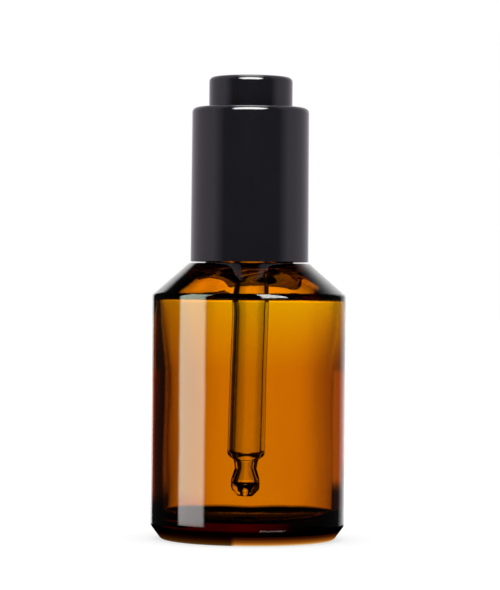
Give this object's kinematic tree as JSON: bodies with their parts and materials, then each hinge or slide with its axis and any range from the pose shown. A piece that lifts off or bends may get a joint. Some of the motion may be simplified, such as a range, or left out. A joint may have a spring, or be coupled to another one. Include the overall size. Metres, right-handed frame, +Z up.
{
  "type": "dropper bottle",
  "caption": "Amber glass bottle with a conical shoulder and a screw-on black push-button dropper: shroud, rubber bulb and hanging glass pipette.",
  "frame": {"origin": "centre of the circle that the bottle stands on", "axes": "+Z up along the bottle's and the screw closure's axis; the pipette leans towards -X"},
  "size_m": [0.036, 0.036, 0.0856],
  "materials": {
    "amber_glass": "clear amber moulded glass, polished",
    "clear_glass": "clear drawn tube, fire polished",
    "gloss_black": "high gloss injection moulded",
    "matte_black": "as moulded, low sheen",
    "black_rubber": "smooth matt rubber",
    "white_foam": "closed cell polyethylene foam"
  },
  "bodies": {
    "bottle_body": {"bottle": "amber_glass"},
    "washer_body": {"seal_washer": "white_foam"},
    "dropper_body": {"inner_cap": "matte_black", "outer_shroud": "gloss_black", "retaining_ring": "matte_black", "bulb": "black_rubber", "pipette": "clear_glass"},
    "button_body": {"push_button": "gloss_black"}
  },
  "joints": [
    {"name": "closure_lift", "type": "slide", "parent": "bottle_body", "child": "washer_body", "axis": [0, 0, 1], "range_m": [0, 0.0635]},
    {"name": "closure_unscrew", "type": "hinge", "parent": "washer_body", "child": "dropper_body", "pos_m": [0, 0, 0.05515], "axis": [0, 0, 1], "range_deg": [0, 7201]},
    {"name": "button_press", "type": "slide", "parent": "dropper_body", "child": "button_body", "axis": [0, 0, -1], "range_m": [0, 0.0048], "stiffness_N_per_m": 1800, "springref_m": -0.0003, "deforming": ["bulb"]}
  ],
  "couplings": [
    {"joint": "closure_unscrew", "follows": "closure_lift", "rad_per_m": 1979}
  ]
}
